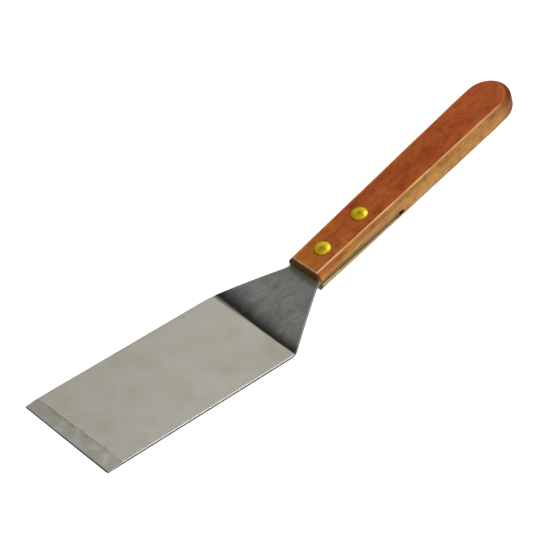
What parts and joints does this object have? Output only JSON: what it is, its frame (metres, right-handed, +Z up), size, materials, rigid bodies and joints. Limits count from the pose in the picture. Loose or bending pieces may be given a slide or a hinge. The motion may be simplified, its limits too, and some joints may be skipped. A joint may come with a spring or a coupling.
{
  "type": "palette knife",
  "caption": "Cranked palette knife: a flat rectangular steel blade bent up to a half tang riveted in a slotted, chamfered wooden handle.",
  "frame": {"origin": "on the surface that the blade lies on, under the middle of the tool's overall length and width", "axes": "+X along the tool from the blade's ground front edge to the handle's butt, +Y across the blade, +Z up, square to the blade"},
  "size_m": [0.2782, 0.057, 0.0605],
  "materials": {
    "sheet_steel": "satin ground stainless sheet",
    "handle_wood": "sanded and oiled reddish hardwood",
    "rivet_brass": "polished, lightly worn"
  },
  "bodies": {
    "root": {"blade": "sheet_steel", "handle": "handle_wood", "front_rivet_male": "rivet_brass", "front_rivet_female": "rivet_brass", "rear_rivet_male": "rivet_brass", "rear_rivet_female": "rivet_brass"}
  },
  "joints": []
}
